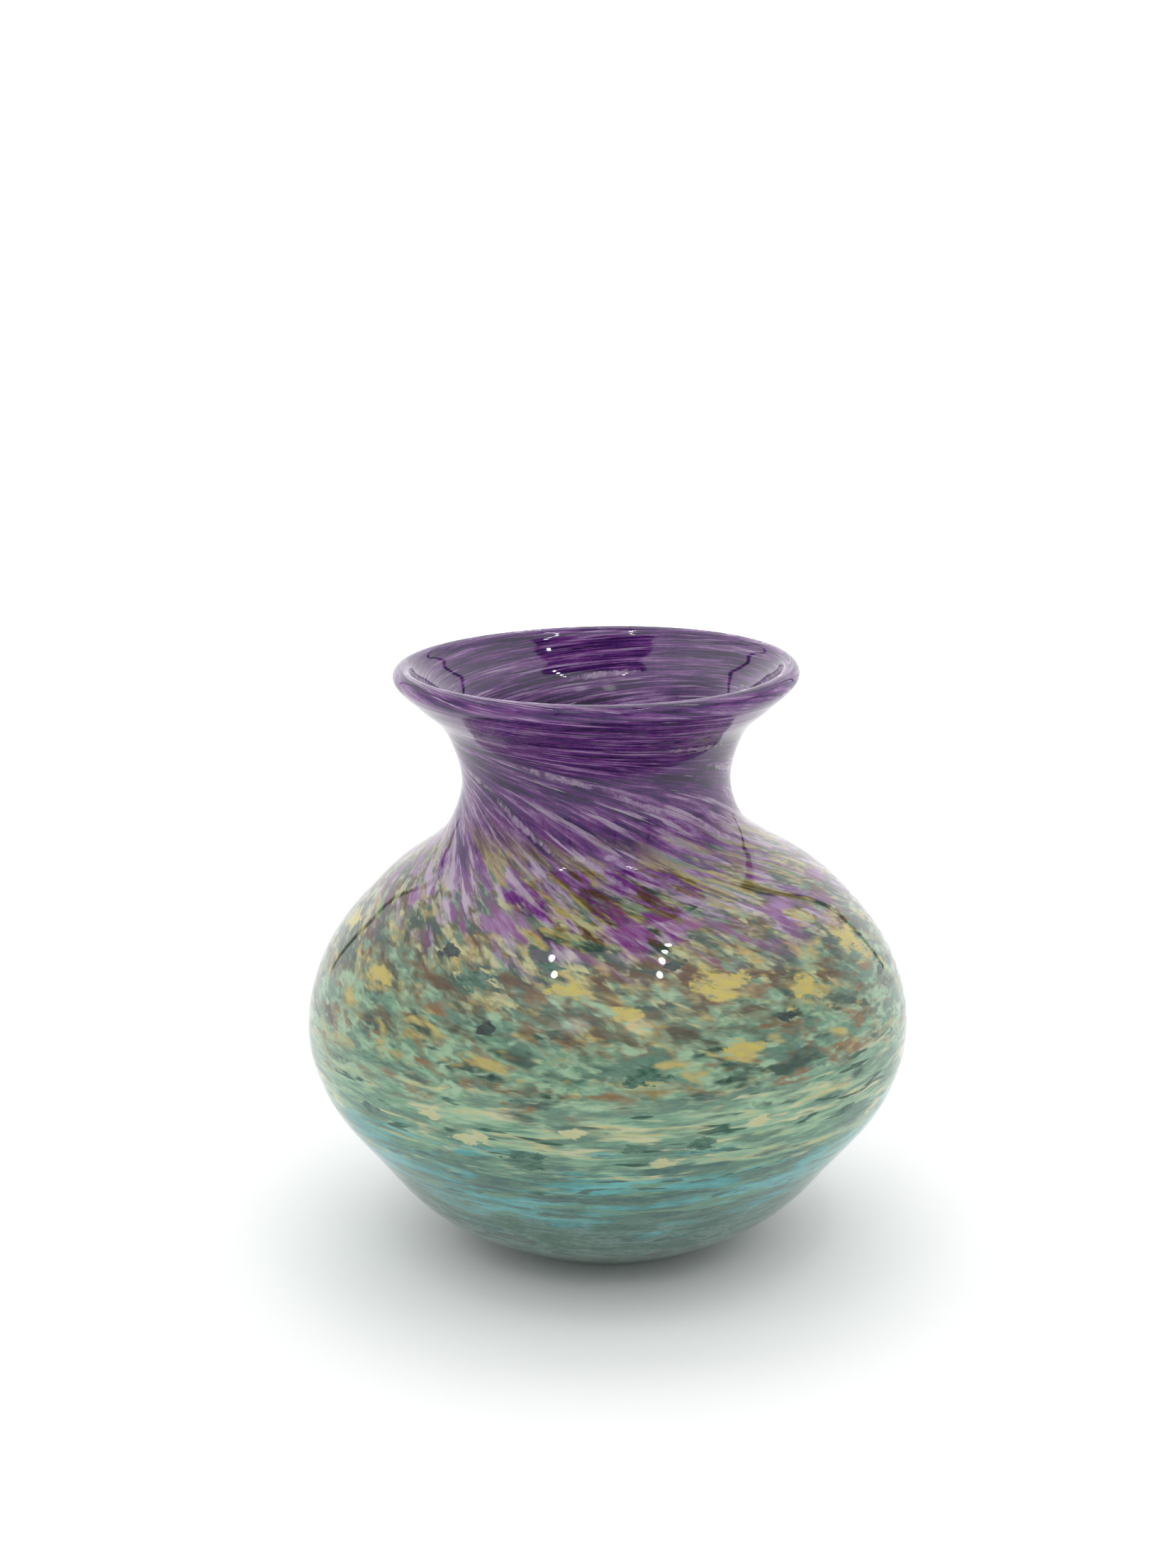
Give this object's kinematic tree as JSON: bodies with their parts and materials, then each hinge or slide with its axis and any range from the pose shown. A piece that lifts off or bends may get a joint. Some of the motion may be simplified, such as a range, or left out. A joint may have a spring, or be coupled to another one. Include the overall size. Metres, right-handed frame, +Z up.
{
  "type": "art glass vase",
  "caption": "Round-bellied hand blown glass vase with a drawn-in neck and a flared lip, coloured frit sealed between clear gathers; holds cut flowers.",
  "frame": {"origin": "centre of the foot, on the plane that the foot ring stands on", "axes": "+Z up along the vase's axis; -Y is the front, the side seen in the reference view; +X is to the right of that side"},
  "size_m": [0.19, 0.19, 0.1857],
  "materials": {
    "clear_casing": "clear, glossy, fire polished",
    "first_gather": "clear, glossy, fire polished",
    "violet_neck_frit": "deep violet with lavender threads, under clear glass",
    "amber_shoulder_frit": "mottled mustard, umber and teal, under clear glass",
    "celadon_belly_frit": "mottled celadon, teal and rust, under clear glass",
    "straw_band_frit": "pale straw green, streaked round the vase, under clear glass",
    "turquoise_band_frit": "turquoise, streaked round the vase, under clear glass",
    "smoke_foot_frit": "grey teal, under clear glass",
    "gold_chips": "golden yellow chips, under clear glass",
    "magenta_chips": "magenta chips, under clear glass",
    "slate_chips": "dark slate blue chips, under clear glass",
    "forest_shards": "dark green shards, under clear glass",
    "cream_shards": "cream shards, under clear glass",
    "lavender_streaks": "pale lavender streaks, under clear glass"
  },
  "bodies": {
    "root": {"clear_casing": "clear_casing", "first_gather": "first_gather", "violet_neck_frit": "violet_neck_frit", "amber_shoulder_frit": "amber_shoulder_frit", "celadon_belly_frit": "celadon_belly_frit", "straw_band_frit": "straw_band_frit", "turquoise_band_frit": "turquoise_band_frit", "smoke_foot_frit": "smoke_foot_frit", "gold_chips": "gold_chips", "magenta_chips": "magenta_chips", "slate_chips": "slate_chips", "forest_shards": "forest_shards", "cream_shards": "cream_shards", "lavender_streaks": "lavender_streaks"}
  },
  "joints": []
}
